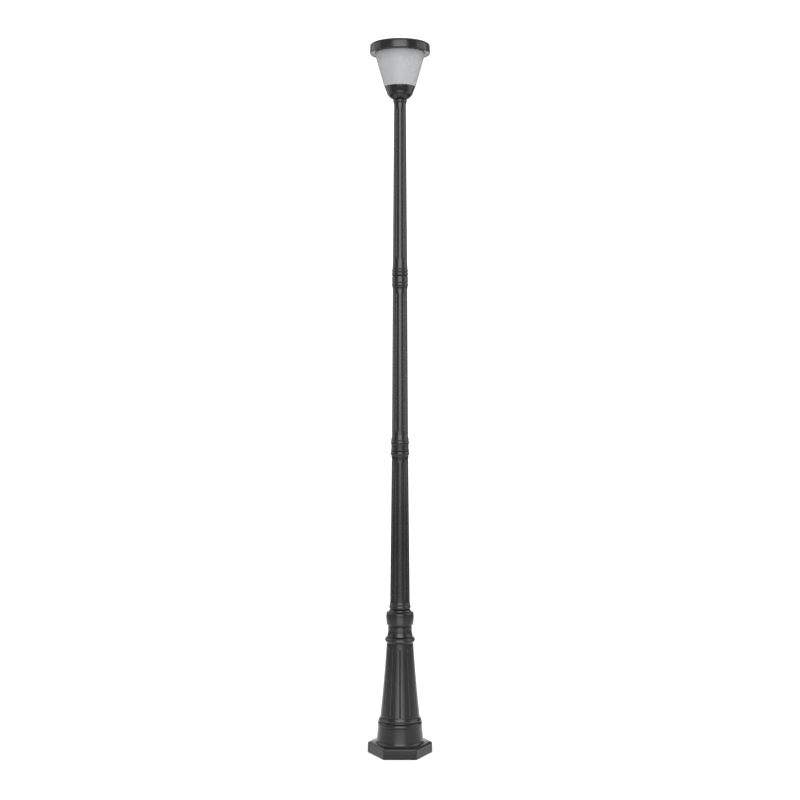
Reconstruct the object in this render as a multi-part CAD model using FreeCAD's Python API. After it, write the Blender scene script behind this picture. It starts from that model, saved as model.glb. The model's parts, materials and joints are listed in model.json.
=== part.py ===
import FreeCAD, Part
import math
import os

# A lamp post of cast sections: a hexagonal foot, a grooved pedestal, three fluted shaft sections that
# screw together on threaded nipples, and a solar lamp head whose round cap lifts off its frosted shade.
# Millimetres, +Z up. The origin is on the ground, on the post's axis. The foot has a flat side towards
# -Y and corners on the X axis. Threads are plain cylinders at the thread's outer radius.

# ---- Driving dimensions ----------------------------------------------------------------------------

# Foot
FOOT_CORNER_RADIUS = 113.8      # hexagon corner to axis, before its corners are rounded
FOOT_CORNER_ROUND = 5.0
FOOT_HEIGHT = 38.0              # top of the hexagonal plate
FOOT_CHAMFER = 5.0
FOOT_FLOOR = 10.0               # thickness of the flange that stands on the ground
FOOT_WALL = 8.0
DRUM_FILLET = 10.8
DRUM_BASE_RADIUS = 81.5
DRUM_CREASE_HEIGHT = 98.0
ANCHOR_CIRCLE_RADIUS = 48.0     # a socket reaches the nuts through the mouth of the foot
ANCHOR_HOLE_RADIUS = 5.5        # clears an M10 anchor bolt
ANCHOR_COUNT = 3

# Seams between the cast pieces
PEDESTAL_SEAM = 112.5
FOOT_JOINT = 502.5
LOWER_JOINT = 1054.5
UPPER_JOINT = 1667.5
HEAD_JOINT = 2285.0

# Pedestal
PEDESTAL_FLOOR_RADIUS = 68.5    # where the straight taper starts
PEDESTAL_TOP_RADIUS = 47.2
PEDESTAL_TAPER = (134.0, 376.0)
PEDESTAL_MIDDLE = (56.9, 252.0)
GROOVE_COUNT = 12
GROOVE_SPAN = (136.0, 362.0)
GROOVE_RADIUS = 2.0
GROOVE_END_RADIUS = 2.7
SPIGOT_RADIUS = 59.8
DECK = (466.0, 478.0)           # bottom and top of the deck that the tie rod pulls on

# Shaft: (height, radius) where each plain taper starts and ends
LOWER_TAPER = ((532.0, 34.5), (1023.0, 29.2))
MIDDLE_TAPER = ((1114.0, 28.6), (1617.0, 25.6))
UPPER_TAPER = ((1719.0, 25.3), (2264.0, 21.1))
FLUTE_COUNT = 8
FLUTE_HALF_ANGLE = 12.5         # degrees of the section that half a flute takes
FLUTE_DEPTH = 0.06              # share of the section's radius
FLUTE_MARGIN = 14.0             # from the end of a taper to the centre of a flute's round end
SOCKET_DEPTH = 24.0             # solid end of a section, round its nipple

# Tie rod and nipples: outer and inner radius
ROD_RADIUS = 6.0
FOOT_NIPPLE = (20.0, 16.0)
LOWER_NIPPLE = (16.0, 12.0)
UPPER_NIPPLE = (14.0, 10.0)
HEAD_NIPPLE = (8.0, 5.5)
NIPPLE_REACH = 21.0             # how far a nipple screws into each section
SET_SCREW_RADIUS = 3.0
SET_SCREW_LENGTH = 10.0

# Lamp head
CUP_RIM = (53.4, 2329.5)        # radius, height
SHADE_BASE = 2330.0
SHADE_WALL = 2.9
SHADE_FLOOR = 4.0
SHADE_FOOT_RADIUS = 55.4
SHADE_LIP = (88.0, 2446.2)
CAP_FLOOR = 2447.0              # flat underside of the cap
CAP_LIP = (106.4, 2445.6)       # widest circle, and the lowest edge of the lip round the underside
CAP_LIP_WIDTH = 5.0
CAP_SEAM = (105.6, 2470.0)      # between housing and bezel
CAP_TOP = 2479.0
CAP_ROUND = 8.0                 # the bezel's rounded top edge
CAP_WALL = 3.0
RUNNING_GAP = 0.06              # button in its guide
REST_GAP = 0.3                  # between the cap unit and the shade

# Electronics under the cap
TRAY_RADIUS = 82.5
TRAY_THICKNESS = 3.5
GLASS_RADIUS = 101.0
GLASS_THICKNESS = 3.2
CELL_SIDE = 39.5
CELL_PITCH = 41.0
BATTERY_RADIUS = 9.2
BATTERY_LENGTH = 65.0
BATTERY_ROW_Y = 22.0
BOARD_LEVEL = CAP_FLOOR + 10.0
BOARD_SIZE = (60.0, 54.0, 1.6)
BOARD_CENTRE_Y = -54.0
BUTTON_Y = -69.0
BUTTON_RADIUS = 4.0
LENS_RADIUS = 56.0
LED_RINGS = ((18.0, 4), (40.0, 8))
TRAY_SCREW_RADIUS = 79.2


# ---- Helpers ---------------------------------------------------------------------------------------

ORIGIN = FreeCAD.Vector(0, 0, 0)
UP = FreeCAD.Vector(0, 0, 1)


def at(radius, height):
    return FreeCAD.Vector(radius, 0, height)


def turned(steps):
    """Solid of revolution about the post's axis from a closed outline of steps. A step is (radius,
    height), a straight run to there, or (radius, height, radius, height), an arc through the first
    of its two points to the second."""
    here = at(*steps[0])
    edges = []
    for step in steps[1:] + steps[:1]:
        there = at(*step[-2:])
        if len(step) == 4:
            edges.append(Part.Arc(here, at(*step[:2]), there).toShape())
        else:
            edges.append(Part.LineSegment(here, there).toShape())
        here = there
    return Part.Face(Part.Wire(edges)).revolve(ORIGIN, UP, 360)


def rod(radius, low, high, x=0.0, y=0.0):
    return Part.makeCylinder(radius, high - low, FreeCAD.Vector(x, y, low))


def tube(outer, inner, low, high, x=0.0, y=0.0):
    return rod(outer, low, high, x, y).cut(rod(inner, low, high, x, y))


def block(x, y, low, high, centre_x=0.0, centre_y=0.0):
    return Part.makeBox(x, y, high - low, FreeCAD.Vector(centre_x - x / 2, centre_y - y / 2, low))


def hexagon(corner_radius, low, high):
    corners = []
    for turn in range(7):
        angle = math.radians(60 * turn)
        corners.append(FreeCAD.Vector(corner_radius * math.cos(angle), corner_radius * math.sin(angle), low))
    return Part.Face(Part.makePolygon(corners)).extrude(FreeCAD.Vector(0, 0, high - low))


def rounded_hexagon(corner_radius, corner_round, height):
    """Closed wire: a hexagon with a corner on the X axis, its corners rounded."""
    inset = corner_round / math.cos(math.radians(30))
    half_turn = math.radians(30)
    edges = []
    for turn in range(6):
        corner = math.radians(60 * turn)
        centre = FreeCAD.Vector(math.cos(corner), math.sin(corner), 0) * (corner_radius - inset)
        centre.z = height
        arc = []
        for angle in (corner - half_turn, corner, corner + half_turn):
            arc.append(centre + FreeCAD.Vector(math.cos(angle), math.sin(angle), 0) * corner_round)
        if edges:
            edges.append(Part.LineSegment(last, arc[0]).toShape())
        else:
            first = arc[0]
        edges.append(Part.Arc(*arc).toShape())
        last = arc[2]
    edges.append(Part.LineSegment(last, first).toShape())
    return Part.Wire(edges)


def turned_about_axis(shape, degrees):
    copy = shape.copy()
    copy.rotate(ORIGIN, UP, degrees)
    return copy


def ring_of(shape, count, first=0.0):
    """Copies of a shape, evenly spaced about the post's axis."""
    return [turned_about_axis(shape, first + 360.0 * turn / count) for turn in range(count)]


def nut(across_flats, hole, low, high):
    return hexagon(across_flats / math.sqrt(3), low, high).cut(rod(hole, low, high))


def screw(shank, head, seat, tip, head_height, x, y):
    """A pan-head screw that points up: its head hangs below the seat and its shank ends at the tip."""
    return rod(head, seat - head_height, seat, x, y).fuse(rod(shank, seat, tip, x, y))


# ---- Foot and pedestal -----------------------------------------------------------------------------

def base_foot():
    shoulder = FOOT_HEIGHT - FOOT_CHAMFER
    ground = rounded_hexagon(FOOT_CORNER_RADIUS, FOOT_CORNER_ROUND, 0.0)
    side = Part.Face(ground).extrude(FreeCAD.Vector(0, 0, shoulder))
    top_corner = FOOT_CORNER_RADIUS - FOOT_CHAMFER / math.cos(math.radians(30))
    bevel = Part.makeLoft([
        rounded_hexagon(FOOT_CORNER_RADIUS, FOOT_CORNER_ROUND, shoulder),
        rounded_hexagon(top_corner, FOOT_CORNER_ROUND / 2, FOOT_HEIGHT),
    ], True, True)
    plate = side.fuse(bevel)

    fillet_edge = DRUM_BASE_RADIUS + DRUM_FILLET
    fillet_mid = fillet_edge - DRUM_FILLET * math.sqrt(0.5)
    fillet_mid_height = FOOT_HEIGHT + DRUM_FILLET * (1 - math.sqrt(0.5))
    drum = turned([
        (0.0, FOOT_FLOOR),
        (fillet_edge, FOOT_FLOOR),
        (fillet_edge, FOOT_HEIGHT),
        (fillet_mid, fillet_mid_height, DRUM_BASE_RADIUS, FOOT_HEIGHT + DRUM_FILLET),
        (77.3, 88.0),
        (77.0, DRUM_CREASE_HEIGHT - 1.0),
        (75.8, DRUM_CREASE_HEIGHT),
        (76.9, DRUM_CREASE_HEIGHT + 1.2),
        (78.0, 104.6, 76.2, PEDESTAL_SEAM - 3.0),
        (72.8, PEDESTAL_SEAM),
        (0.0, PEDESTAL_SEAM),
    ])
    flange_underside = PEDESTAL_SEAM - 10.0
    inside = turned([
        (0.0, FOOT_FLOOR),
        (76.5, FOOT_FLOOR),
        (76.5, 34.0),
        (75.5, 51.0),
        (71.5, 94.0),
        (71.0, flange_underside),
        (0.0, flange_underside),
    ])
    plate_inside = hexagon(FOOT_CORNER_RADIUS - FOOT_WALL / math.cos(math.radians(30)), FOOT_FLOOR, 29.0)
    mouth = rod(SPIGOT_RADIUS + 0.2, flange_underside, PEDESTAL_SEAM)
    floor_hole = rod(34.0, 0.0, FOOT_FLOOR)
    shell = plate.fuse(drum).cut(plate_inside).cut(inside).cut(mouth).cut(floor_hole)

    hub = rod(15.0, 12.0, 62.0)
    rib = Part.makeBox(78.0, 8.0, 42.0, FreeCAD.Vector(0.0, -4.0, 8.0))
    foot = shell.multiFuse([hub] + ring_of(rib, 3, 30.0))
    foot = foot.cut(rod(ROD_RADIUS, 12.0, 62.0))
    anchor = rod(ANCHOR_HOLE_RADIUS, 0.0, FOOT_FLOOR, ANCHOR_CIRCLE_RADIUS)
    return foot.cut(ring_of(anchor, ANCHOR_COUNT, 90.0))


def pedestal_groove():
    """Cutter for one groove, along the pedestal's slightly hollow taper."""
    low, high = PEDESTAL_TAPER
    arc = Part.Arc(at(PEDESTAL_FLOOR_RADIUS, low), at(*PEDESTAL_MIDDLE), at(PEDESTAL_TOP_RADIUS, high))
    side = arc.toShape().Curve

    def on_side(height):
        reach = math.sqrt(side.Radius ** 2 - (height - side.Center.z) ** 2)
        return at(side.Center.x - reach, height)

    first, last = GROOVE_SPAN
    start, middle, end = on_side(first), on_side((first + last) / 2), on_side(last)
    path = Part.Arc(start, middle, end).toShape()
    direction = path.tangentAt(path.FirstParameter)
    section = Part.Wire(Part.makeCircle(GROOVE_RADIUS, start, direction))
    body = Part.Wire(path).makePipeShell([section], True, False)
    return [body, Part.makeSphere(GROOVE_RADIUS, start), Part.makeSphere(GROOVE_END_RADIUS, end)]


def pedestal():
    low, high = PEDESTAL_TAPER
    deck_low, deck_high = DECK
    bore = FOOT_NIPPLE[0]
    casting = turned([
        (54.0, PEDESTAL_SEAM - 7.0),
        (SPIGOT_RADIUS, PEDESTAL_SEAM - 7.0),
        (SPIGOT_RADIUS, PEDESTAL_SEAM),
        (72.8, PEDESTAL_SEAM),
        (74.8, 114.6),
        (75.2, 116.8, 74.2, 118.8),
        (70.7, 123.6, PEDESTAL_FLOOR_RADIUS, low),
        (*PEDESTAL_MIDDLE, PEDESTAL_TOP_RADIUS, high),
        (46.2, 385.6),
        (52.3, 398.0, 46.6, 405.2),
        (43.4, 407.4),
        (45.2, 409.6),
        (42.4, 419.5, 41.8, 434.0),
        (41.8, 442.0),
        (39.8, 444.6),
        (45.4, 447.6),
        (47.2, 452.0),
        (48.9, 473.5),
        (48.3, 485.0),
        (46.8, 490.2, 42.8, 493.2),
        (38.4, 496.0),
        (36.9, 499.8),
        (34.2, FOOT_JOINT),
        (bore, FOOT_JOINT),
        (bore, deck_high),
        (ROD_RADIUS + 0.5, deck_high),
        (ROD_RADIUS + 0.5, deck_low),
        (36.5, deck_low),
        (36.5, 412.0),
        (40.8, high),
        (50.2, 252.0),
        (61.5, low),
        (61.0, PEDESTAL_SEAM + 8.0),
        (54.0, PEDESTAL_SEAM + 8.0),
    ])
    for cutter in pedestal_groove():
        casting = casting.cut(ring_of(cutter, GROOVE_COUNT))
    return casting


def tie_rod():
    return rod(ROD_RADIUS, 14.0, DECK[1] + 17.0)


def tie_washer():
    return tube(14.0, ROD_RADIUS + 0.5, DECK[1], DECK[1] + 2.5)


def tie_nut():
    return nut(19.0, ROD_RADIUS, DECK[1] + 2.5, DECK[1] + 12.5)


# ---- Shaft -----------------------------------------------------------------------------------------

def tapered_capsule(start, start_radius, end, end_radius):
    """A cone with a round end on each side, in one piece."""
    length = (end - start).Length
    tilt = math.asin((start_radius - end_radius) / length)

    def on_ball(radius, height, angle):
        return (radius * math.cos(angle), height + radius * math.sin(angle))

    low_corner = on_ball(start_radius, 0.0, tilt)
    low_middle = on_ball(start_radius, 0.0, (tilt - math.pi / 2) / 2)
    high_corner = on_ball(end_radius, length, tilt)
    high_middle = on_ball(end_radius, length, (tilt + math.pi / 2) / 2)
    capsule = turned([
        (0.0, -start_radius),
        (*low_middle, *low_corner),
        high_corner,
        (*high_middle, 0.0, length + end_radius),
    ])
    capsule.Placement = FreeCAD.Placement(start, FreeCAD.Rotation(UP, end - start))
    return capsule


def flute_cutter(taper):
    """Cutter for one flute: a tapered round-ended trough with the section's own proportions."""
    half = math.radians(FLUTE_HALF_ANGLE)
    floor = 1.0 - FLUTE_DEPTH
    centre = (1.0 - floor ** 2) / (2.0 * (math.cos(half) - floor))
    trough = centre - floor
    (low, low_radius), (high, high_radius) = taper

    def radius_at(height):
        return low_radius + (high_radius - low_radius) * (height - low) / (high - low)

    ends = []
    for height in (low + FLUTE_MARGIN, high - FLUTE_MARGIN):
        radius = radius_at(height)
        ends += [at(centre * radius, height), trough * radius]
    return tapered_capsule(*ends)


def shaft_section(outside, taper, bore, foot_bore, head_bore):
    """One hollow section. Its outside goes up from its lower seam to its upper seam."""
    low = outside[0][-1]
    high = outside[-1][-1]
    inside = [
        (head_bore, high),
        (head_bore, high - SOCKET_DEPTH),
        (bore, high - SOCKET_DEPTH - 4.0),
        (bore, low + SOCKET_DEPTH + 4.0),
        (foot_bore, low + SOCKET_DEPTH),
        (foot_bore, low),
    ]
    return turned(outside + inside).cut(ring_of(flute_cutter(taper), FLUTE_COUNT, 180.0 / FLUTE_COUNT))


def lower_shaft():
    (low, low_radius), (high, high_radius) = LOWER_TAPER
    outside = [
        (34.2, FOOT_JOINT),
        (36.9, 505.4),
        (37.9, 510.2, 36.0, 516.6),
        (34.8, 517.8),
        (35.8, 519.0),
        (35.9, 522.4, 34.8, 526.0),
        (low_radius, low),
        (high_radius, high),
        (29.5, 1030.0, 30.9, 1037.5),
        (29.8, 1038.8),
        (30.9, 1040.2),
        (33.1, 1047.0, 31.6, 1053.2),
        (30.4, LOWER_JOINT),
    ]
    shaft = shaft_section(outside, LOWER_TAPER, 23.0, FOOT_NIPPLE[0], LOWER_NIPPLE[0])
    return shaft.cut(set_screw_hole(FOOT_JOINT, FOOT_NIPPLE))


def middle_shaft():
    (low, low_radius), (high, high_radius) = MIDDLE_TAPER
    outside = [
        (30.4, LOWER_JOINT),
        (31.9, 1055.8),
        (32.1, 1060.6),
        (30.6, 1062.2),
        (30.7, 1070.5, 31.0, 1076.6),
        (30.1, 1077.8),
        (31.1, 1079.0),
        (32.2, 1084.6, 31.2, 1090.4),
        (30.2, 1091.6),
        (31.2, 1092.8),
        (31.2, 1096.2),
        (29.4, 1102.6, low_radius, low),
        (high_radius, high),
        (26.1, 1623.5, 27.4, 1629.0),
        (26.4, 1630.2),
        (27.4, 1631.4),
        (28.5, 1637.0, 27.6, 1642.8),
        (26.5, 1644.4),
        (28.1, 1646.0),
        (27.9, 1665.4),
        (26.2, UPPER_JOINT),
    ]
    shaft = shaft_section(outside, MIDDLE_TAPER, 20.0, LOWER_NIPPLE[0], UPPER_NIPPLE[0])
    return shaft.cut(set_screw_hole(LOWER_JOINT, LOWER_NIPPLE))


def upper_shaft():
    (low, low_radius), (high, high_radius) = UPPER_TAPER
    outside = [
        (26.2, UPPER_JOINT),
        (27.5, 1669.2),
        (28.6, 1674.4, 27.6, 1679.8),
        (26.5, 1681.2),
        (27.5, 1682.6),
        (28.2, 1686.6, 27.1, 1691.0),
        (26.0, 1692.2),
        (26.8, 1693.4),
        (25.9, 1705.0, low_radius, low),
        (high_radius, high),
        (21.4, 2269.0, 21.9, 2273.4),
        (24.4, 2279.6, 23.4, HEAD_JOINT),
    ]
    shaft = shaft_section(outside, UPPER_TAPER, 16.0, UPPER_NIPPLE[0], HEAD_NIPPLE[0])
    return shaft.cut(set_screw_hole(UPPER_JOINT, UPPER_NIPPLE))


def nipple(joint, radii, below=NIPPLE_REACH, above=NIPPLE_REACH):
    return tube(*radii, joint - below, joint + above)


def set_screw_at(joint, radii, reach):
    """A cylinder through a section's wall at the back, just above the joint, from the nipple outwards."""
    start = FreeCAD.Vector(0.0, radii[0], joint + 12.0)
    return Part.makeCylinder(SET_SCREW_RADIUS, reach, start, FreeCAD.Vector(0, 1, 0))


def set_screw_hole(joint, radii):
    return set_screw_at(joint, radii, 30.0)


def joint_set_screws():
    joints = ((FOOT_JOINT, FOOT_NIPPLE), (LOWER_JOINT, LOWER_NIPPLE), (UPPER_JOINT, UPPER_NIPPLE))
    return Part.makeCompound([set_screw_at(*joint, SET_SCREW_LENGTH) for joint in joints])


# ---- Lamp head: fixed pieces -----------------------------------------------------------------------

CUP_FLOOR_TOP = HEAD_JOINT + 7.0
CUP_LEDGE = CUP_RIM[1] - 2.0
SHADE_FLOOR_TOP = SHADE_BASE + SHADE_FLOOR
HEAD_NIPPLE_TOP = SHADE_FLOOR_TOP + 12.0


def cup():
    rim_radius, rim = CUP_RIM
    bore = HEAD_NIPPLE[0]
    return turned([
        (bore, HEAD_JOINT),
        (23.4, HEAD_JOINT),
        (24.8, 2286.4),
        (35.0, 2292.6, 41.8, 2300.6),
        (42.6, 2303.0),
        (44.8, 2304.0, 45.4, 2306.8),
        (45.3, 2308.2),
        (49.6, 2317.4, rim_radius, rim - 1.4),
        (rim_radius, rim),
        (50.3, rim),
        (50.3, CUP_LEDGE),
        (46.5, CUP_LEDGE),
        (46.5, CUP_LEDGE - 2.5),
        (41.0, 2311.0),
        (37.4, 2303.0),
        (28.0, 2294.5),
        (20.0, CUP_FLOOR_TOP),
        (bore, CUP_FLOOR_TOP),
    ])


def cup_washer():
    return tube(17.0, HEAD_NIPPLE[0] + 0.3, CUP_FLOOR_TOP, CUP_FLOOR_TOP + 2.0)


def cup_nut():
    return nut(27.0, HEAD_NIPPLE[0], CUP_FLOOR_TOP + 2.0, CUP_FLOOR_TOP + 10.0)


def head_nipple():
    return tube(*HEAD_NIPPLE, HEAD_JOINT - NIPPLE_REACH, HEAD_NIPPLE_TOP)


def seat_gasket():
    return tube(50.1, 46.8, CUP_LEDGE, SHADE_BASE)


def shade():
    lip_radius, lip = SHADE_LIP
    foot = SHADE_FOOT_RADIUS
    hole = HEAD_NIPPLE[0] + 0.3
    return turned([
        (hole, SHADE_BASE),
        (foot - 2.0, SHADE_BASE),
        (foot - 0.6, SHADE_BASE + 0.6, foot, SHADE_BASE + 2.0),
        (lip_radius, lip - 1.0),
        (lip_radius, lip),
        (lip_radius - SHADE_WALL, lip),
        (foot - SHADE_WALL + 0.6, SHADE_FLOOR_TOP),
        (hole, SHADE_FLOOR_TOP),
    ])


def shade_washer():
    return tube(20.0, HEAD_NIPPLE[0] + 0.3, SHADE_FLOOR_TOP, SHADE_FLOOR_TOP + 2.0)


def shade_nut():
    return nut(27.0, HEAD_NIPPLE[0], SHADE_FLOOR_TOP + 2.0, SHADE_FLOOR_TOP + 9.0)


# ---- Lift-off cap: casing and solar panel ----------------------------------------------------------

PANEL_LEDGE = CAP_SEAM[1]
PANEL_BOARD = (PANEL_LEDGE + 1.0, PANEL_LEDGE + 2.6)
CELL_LEVELS = (PANEL_BOARD[1], PANEL_BOARD[1] + 0.4)
GLASS_LEVELS = (CELL_LEVELS[1], CELL_LEVELS[1] + GLASS_THICKNESS)
TRAY_UNDERSIDE = CAP_FLOOR - TRAY_THICKNESS
GASKET_RING = (SHADE_LIP[0] - 0.2, SHADE_LIP[0] - SHADE_WALL - 0.4)
GASKET_GROOVE = 1.8


def cap_housing():
    """Shallow open pan with a flat underside, a rounded lip round it and a flange for the panel."""
    edge_radius, edge = CAP_LIP
    seam_radius, seam = CAP_SEAM
    inner_wall = seam_radius - CAP_WALL
    lip = edge_radius - CAP_LIP_WIDTH
    drop = CAP_FLOOR - edge
    inner_bend = drop * (1 - math.sqrt(0.5))
    rounding = CAP_LIP_WIDTH - drop
    bend = rounding * (1 - math.sqrt(0.5))
    floor_top = CAP_FLOOR + 4.4
    casing = turned([
        (76.5, CAP_FLOOR),
        (lip, CAP_FLOOR),
        (lip + inner_bend, edge + inner_bend, lip + drop, edge),
        (edge_radius - bend, edge + bend, edge_radius, edge + rounding),
        (seam_radius, seam),
        (95.5, PANEL_LEDGE),
        (95.5, PANEL_LEDGE - 2.4),
        (inner_wall, PANEL_LEDGE - 7.0),
        (inner_wall, floor_top + 1.5),
        (inner_wall - 1.5, floor_top),
        (76.5, floor_top),
    ])
    casing = casing.cut(tube(*GASKET_RING, CAP_FLOOR, CAP_FLOOR + GASKET_GROOVE))
    return casing.cut(ring_of(rod(1.5, CAP_FLOOR, floor_top, TRAY_SCREW_RADIUS), 4, 45.0))


def cap_bezel():
    seam_radius, seam = CAP_SEAM
    outside = seam_radius - 0.1
    recess = GLASS_RADIUS + 0.2
    bend = CAP_ROUND * (1 - math.sqrt(0.5))
    return turned([
        (recess, seam),
        (outside, seam),
        (outside, CAP_TOP - CAP_ROUND),
        (outside - bend, CAP_TOP - bend, outside - CAP_ROUND, CAP_TOP),
        (95.6, CAP_TOP - 0.3),
        (94.0, CAP_TOP - 1.4),
        (94.0, GLASS_LEVELS[1]),
        (recess, GLASS_LEVELS[1]),
    ])


def panel_seal():
    return tube(GLASS_RADIUS, 96.5, PANEL_LEDGE, PANEL_BOARD[0])


def panel_board():
    return rod(GLASS_RADIUS, *PANEL_BOARD)


def solar_cells():
    """A four by four grid of square cells without its corners."""
    places = [(i - 1.5) * CELL_PITCH for i in range(4)]
    cells = []
    for x in places:
        for y in places:
            if math.hypot(x, y) < 1.8 * CELL_PITCH:
                cells.append(block(CELL_SIDE, CELL_SIDE, *CELL_LEVELS, x, y))
    return Part.makeCompound(cells)


def panel_glass():
    return rod(GLASS_RADIUS, *GLASS_LEVELS)


def cap_gasket():
    """Seal ring in a groove of the cap's underside. The shade's lip is just under it."""
    return tube(*GASKET_RING, SHADE_LIP[1] + REST_GAP, CAP_FLOOR + GASKET_GROOVE)


# ---- Lift-off cap: electronics ---------------------------------------------------------------------

BOARD_POSTS = ((-22.0, -34.0), (22.0, -34.0), (-22.0, -68.0), (22.0, -68.0))
LED_LEAD_HOLES = ((-6.0, -36.0), (6.0, -36.0))
LENS_FLANGE_RADIUS = 61.5
LENS_SCREW_RADIUS = 58.8


def electronics_tray():
    tray = rod(TRAY_RADIUS, TRAY_UNDERSIDE, CAP_FLOOR)
    skirt = tube(TRAY_RADIUS, TRAY_RADIUS - 1.0, TRAY_UNDERSIDE - 2.5, TRAY_UNDERSIDE)
    posts = [rod(3.5, CAP_FLOOR, BOARD_LEVEL, x, y) for x, y in BOARD_POSTS]
    tray = tray.multiFuse([skirt] + posts)
    holes = [rod(BUTTON_RADIUS + RUNNING_GAP, TRAY_UNDERSIDE, CAP_FLOOR, 0.0, BUTTON_Y)]
    holes += [rod(1.2, TRAY_UNDERSIDE, CAP_FLOOR, x, y) for x, y in LED_LEAD_HOLES]
    holes += [rod(1.25, CAP_FLOOR, BOARD_LEVEL, x, y) for x, y in BOARD_POSTS]
    holes += ring_of(rod(1.5, TRAY_UNDERSIDE, CAP_FLOOR, TRAY_SCREW_RADIUS), 4, 45.0)
    holes += ring_of(rod(1.25, TRAY_UNDERSIDE, CAP_FLOOR, LENS_SCREW_RADIUS), 3, 90.0)
    return tray.cut(holes)


def tray_screws():
    one = screw(1.5, 1.9, TRAY_UNDERSIDE, CAP_FLOOR + 4.0, 1.6, TRAY_SCREW_RADIUS, 0.0)
    return Part.makeCompound(ring_of(one, 4, 45.0))


def led_board():
    return rod(50.0, TRAY_UNDERSIDE - 1.6, TRAY_UNDERSIDE)


def leds():
    top = TRAY_UNDERSIDE - 1.6
    chips = []
    for radius, count in LED_RINGS:
        chips += ring_of(block(5.0, 5.0, top - 1.4, top, radius), count, 22.5)
    return Part.makeCompound(chips)


def led_lens():
    """Shallow opal cover under the LED board, with a screwed flange."""
    flange = TRAY_UNDERSIDE
    cover = turned([
        (LENS_FLANGE_RADIUS, flange),
        (LENS_RADIUS - 2.0, flange),
        (LENS_RADIUS - 2.0, flange - 8.0),
        (49.0, flange - 13.0, 38.0, flange - 14.4),
        (0.0, flange - 15.2),
        (0.0, flange - 17.2),
        (39.0, flange - 16.4),
        (52.0, flange - 14.0, LENS_RADIUS, flange - 8.0),
        (LENS_RADIUS, flange - 2.0),
        (LENS_FLANGE_RADIUS, flange - 2.0),
    ])
    return cover.cut(ring_of(rod(1.25, flange - 2.0, flange, LENS_SCREW_RADIUS), 3, 90.0))


def lens_screws():
    one = screw(1.25, 2.5, TRAY_UNDERSIDE - 2.0, CAP_FLOOR - 0.5, 1.6, LENS_SCREW_RADIUS, 0.0)
    return Part.makeCompound(ring_of(one, 3, 90.0))


BATTERY_LEVEL = CAP_FLOOR + 1.6 + BATTERY_RADIUS
BATTERY_PITCH = 2 * BATTERY_RADIUS + 2.4
BATTERY_ROWS = (BATTERY_ROW_Y - BATTERY_PITCH / 2, BATTERY_ROW_Y + BATTERY_PITCH / 2)
CONTACT = 0.8


def lying_cylinder(radius, length, y):
    start = FreeCAD.Vector(-length / 2, y, BATTERY_LEVEL)
    return Part.makeCylinder(radius, length, start, FreeCAD.Vector(1, 0, 0))


def battery_holder():
    length = BATTERY_LENGTH + 2 * CONTACT + 5.0
    holder = block(length, 2 * BATTERY_PITCH + 2.0, CAP_FLOOR, BATTERY_LEVEL, 0.0, BATTERY_ROW_Y)
    bays = [lying_cylinder(BATTERY_RADIUS + 0.1, BATTERY_LENGTH + 2 * CONTACT, y) for y in BATTERY_ROWS]
    return holder.cut(bays)


def battery_cells():
    return Part.makeCompound([lying_cylinder(BATTERY_RADIUS, BATTERY_LENGTH, y) for y in BATTERY_ROWS])


def battery_contacts():
    plates = []
    for y in BATTERY_ROWS:
        for side in (-1, 1):
            x = side * (BATTERY_LENGTH + CONTACT) / 2
            plates.append(block(CONTACT, 9.0, CAP_FLOOR + 6.0, BATTERY_LEVEL + 3.0, x, y))
    return Part.makeCompound(plates)


def control_board():
    x, y, thickness = BOARD_SIZE
    board = block(x, y, BOARD_LEVEL, BOARD_LEVEL + thickness, 0.0, BOARD_CENTRE_Y)
    return board.cut([rod(1.25, BOARD_LEVEL, BOARD_LEVEL + thickness, px, py) for px, py in BOARD_POSTS])


def board_screws():
    top = BOARD_LEVEL + BOARD_SIZE[2]
    screws = []
    for x, y in BOARD_POSTS:
        screws.append(rod(2.4, top, top + 1.5, x, y).fuse(rod(1.25, top - 9.0, top, x, y)))
    return Part.makeCompound(screws)


def board_parts():
    top = BOARD_LEVEL + BOARD_SIZE[2]
    return Part.makeCompound([
        rod(4.0, top, top + 7.5, -12.0, -46.0),
        rod(4.0, top, top + 5.0, 12.0, -46.0),
        block(9.0, 7.0, top, top + 1.8, 0.0, -56.0),
        block(6.0, 5.0, top, top + 1.4, -13.0, -60.0),
        block(8.0, 8.0, top, top + 4.0, 14.0, -60.0),
        block(10.0, 5.0, top, top + 5.0, 0.0, -33.0),
    ])


def lead(*points):
    """A thin insulated wire along straight runs, with an arc at its one bend."""
    thickness = 0.7
    runs = [FreeCAD.Vector(*p) for p in points]
    if len(runs) == 2:
        return Part.makeCylinder(thickness, (runs[1] - runs[0]).Length, runs[0], runs[1] - runs[0])
    before = (runs[0] - runs[1]).normalize()
    after = (runs[2] - runs[1]).normalize()
    bend = 0.45 * min((runs[0] - runs[1]).Length, (runs[2] - runs[1]).Length)
    start = runs[1] + before * bend
    end = runs[1] + after * bend
    centre = start + after * bend
    middle = centre + (runs[1] - centre).normalize() * bend
    path = Part.Wire([
        Part.LineSegment(runs[0], start).toShape(),
        Part.Arc(start, middle, end).toShape(),
        Part.LineSegment(end, runs[2]).toShape(),
    ])
    section = Part.Wire(Part.makeCircle(thickness, runs[0], runs[1] - runs[0]))
    return path.makePipeShell([section], True, False)


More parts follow.
